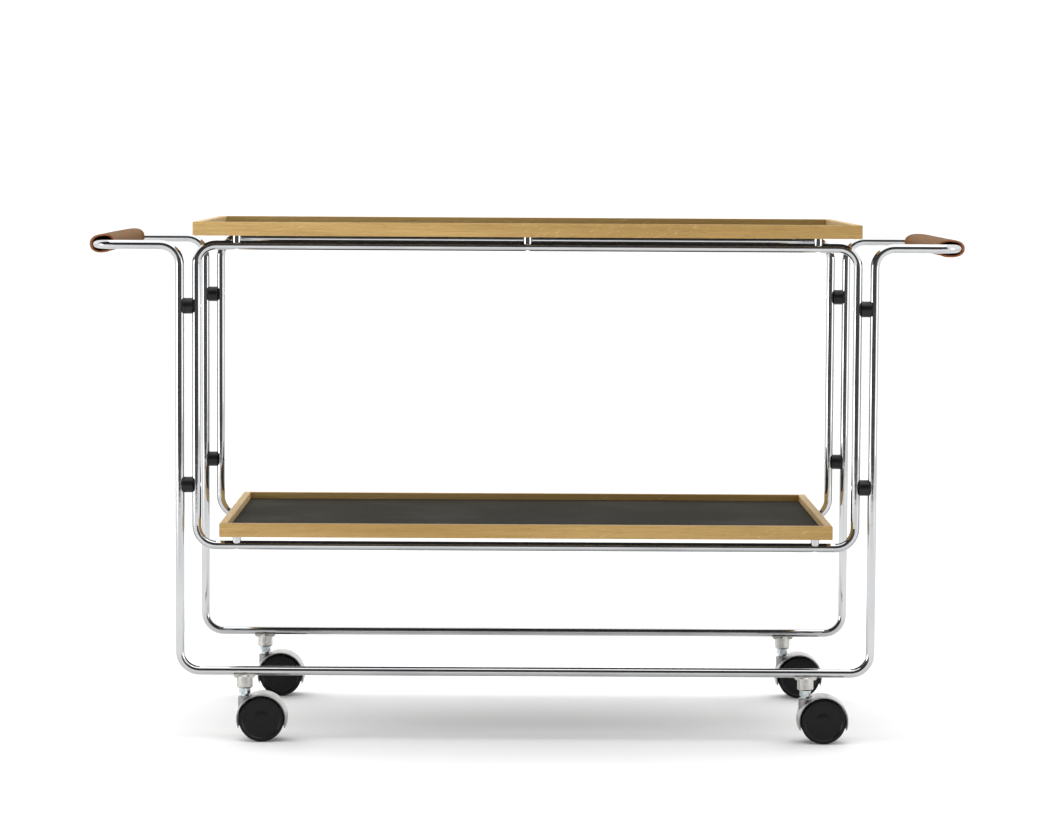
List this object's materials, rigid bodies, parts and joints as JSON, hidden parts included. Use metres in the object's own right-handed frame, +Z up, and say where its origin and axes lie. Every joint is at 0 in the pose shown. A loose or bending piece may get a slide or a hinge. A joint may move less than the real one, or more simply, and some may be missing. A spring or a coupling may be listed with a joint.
{
  "type": "bar cart on wheels",
  "caption": "Bar cart with two rimmed oak trays in a chromed tube frame, leather grips at both ends and twin-wheel swivel casters.",
  "frame": {"origin": "on the floor under the middle of the cart", "axes": "+X along the cart's length, towards the end that the casters trail to at rest; -Y is the front; +Z up"},
  "size_m": [1.1558, 0.446, 0.6858],
  "materials": {
    "chromed_tube": "bright chrome plating on bent steel tube",
    "plain_steel": "plain turned steel",
    "zinc_plate": "clear zinc plating on steel",
    "satin_nickel": "satin nickel plating",
    "black_spacer": "black moulded plastic, fine satin texture",
    "black_wheel": "black moulded nylon, slight sheen",
    "oak": "clear matt lacquered solid oak, mitred corners",
    "dark_faced_plywood": "plywood with a dark matt face underneath",
    "dark_sheet": "very matt charcoal brown furniture linoleum",
    "tan_leather": "tan vegetable tanned leather, hand stitched, lightly worn"
  },
  "bodies": {
    "frame": {"outer_frame_front": "chromed_tube", "outer_frame_back": "chromed_tube", "inner_frame_front": "chromed_tube", "inner_frame_back": "chromed_tube", "left_handle_spigot": "plain_steel", "right_handle_spigot": "plain_steel", "left_grip": "tan_leather", "right_grip": "tan_leather", "spacer_front_left_lower": "black_spacer", "spacer_front_left_upper": "black_spacer", "spacer_front_right_lower": "black_spacer", "spacer_front_right_upper": "black_spacer", "spacer_back_left_lower": "black_spacer", "spacer_back_left_upper": "black_spacer", "spacer_back_right_lower": "black_spacer", "spacer_back_right_upper": "black_spacer", "spacer_screws": "zinc_plate", "spacer_rivet_nuts": "zinc_plate", "upper_tray_posts": "chromed_tube", "lower_tray_posts": "chromed_tube", "upper_tray_screws": "zinc_plate", "lower_tray_screws": "zinc_plate", "upper_tray_rim_front": "oak", "upper_tray_rim_back": "oak", "upper_tray_rim_left": "oak", "upper_tray_rim_right": "oak", "upper_tray_panel": "dark_faced_plywood", "upper_tray_surface": "dark_sheet", "lower_tray_rim_front": "oak", "lower_tray_rim_back": "oak", "lower_tray_rim_left": "oak", "lower_tray_rim_right": "oak", "lower_tray_panel": "dark_faced_plywood", "lower_tray_surface": "dark_sheet", "caster_sockets": "satin_nickel", "caster_stems": "zinc_plate", "caster_retaining_rings": "zinc_plate"},
    "front_left_swivel": {"front_left_caster_hood": "satin_nickel", "front_left_caster_axle": "plain_steel"},
    "front_left_front_wheel": {"front_left_caster_front_wheel": "black_wheel"},
    "front_left_back_wheel": {"front_left_caster_back_wheel": "black_wheel"},
    "front_right_swivel": {"front_right_caster_hood": "satin_nickel", "front_right_caster_axle": "plain_steel"},
    "front_right_front_wheel": {"front_right_caster_front_wheel": "black_wheel"},
    "front_right_back_wheel": {"front_right_caster_back_wheel": "black_wheel"},
    "back_left_swivel": {"back_left_caster_hood": "satin_nickel", "back_left_caster_axle": "plain_steel"},
    "back_left_front_wheel": {"back_left_caster_front_wheel": "black_wheel"},
    "back_left_back_wheel": {"back_left_caster_back_wheel": "black_wheel"},
    "back_right_swivel": {"back_right_caster_hood": "satin_nickel", "back_right_caster_axle": "plain_steel"},
    "back_right_front_wheel": {"back_right_caster_front_wheel": "black_wheel"},
    "back_right_back_wheel": {"back_right_caster_back_wheel": "black_wheel"}
  },
  "joints": [
    {"name": "front_left_swivel_turn", "type": "hinge", "parent": "frame", "child": "front_left_swivel", "pos_m": [-0.3715, -0.2, 0.05], "axis": [0, 0, 1], "continuous": true},
    {"name": "front_left_front_wheel_spin", "type": "hinge", "parent": "front_left_swivel", "child": "front_left_front_wheel", "pos_m": [-0.3485, -0.2, 0.03], "axis": [0, 1, 0], "continuous": true},
    {"name": "front_left_back_wheel_spin", "type": "hinge", "parent": "front_left_swivel", "child": "front_left_back_wheel", "pos_m": [-0.3485, -0.2, 0.03], "axis": [0, 1, 0], "continuous": true},
    {"name": "front_right_swivel_turn", "type": "hinge", "parent": "frame", "child": "front_right_swivel", "pos_m": [0.3715, -0.2, 0.05], "axis": [0, 0, 1], "continuous": true},
    {"name": "front_right_front_wheel_spin", "type": "hinge", "parent": "front_right_swivel", "child": "front_right_front_wheel", "pos_m": [0.3945, -0.2, 0.03], "axis": [0, 1, 0], "continuous": true},
    {"name": "front_right_back_wheel_spin", "type": "hinge", "parent": "front_right_swivel", "child": "front_right_back_wheel", "pos_m": [0.3945, -0.2, 0.03], "axis": [0, 1, 0], "continuous": true},
    {"name": "back_left_swivel_turn", "type": "hinge", "parent": "frame", "child": "back_left_swivel", "pos_m": [-0.3715, 0.2, 0.05], "axis": [0, 0, 1], "continuous": true},
    {"name": "back_left_front_wheel_spin", "type": "hinge", "parent": "back_left_swivel", "child": "back_left_front_wheel", "pos_m": [-0.3485, 0.2, 0.03], "axis": [0, 1, 0], "continuous": true},
    {"name": "back_left_back_wheel_spin", "type": "hinge", "parent": "back_left_swivel", "child": "back_left_back_wheel", "pos_m": [-0.3485, 0.2, 0.03], "axis": [0, 1, 0], "continuous": true},
    {"name": "back_right_swivel_turn", "type": "hinge", "parent": "frame", "child": "back_right_swivel", "pos_m": [0.3715, 0.2, 0.05], "axis": [0, 0, 1], "continuous": true},
    {"name": "back_right_front_wheel_spin", "type": "hinge", "parent": "back_right_swivel", "child": "back_right_front_wheel", "pos_m": [0.3945, 0.2, 0.03], "axis": [0, 1, 0], "continuous": true},
    {"name": "back_right_back_wheel_spin", "type": "hinge", "parent": "back_right_swivel", "child": "back_right_back_wheel", "pos_m": [0.3945, 0.2, 0.03], "axis": [0, 1, 0], "continuous": true}
  ]
}
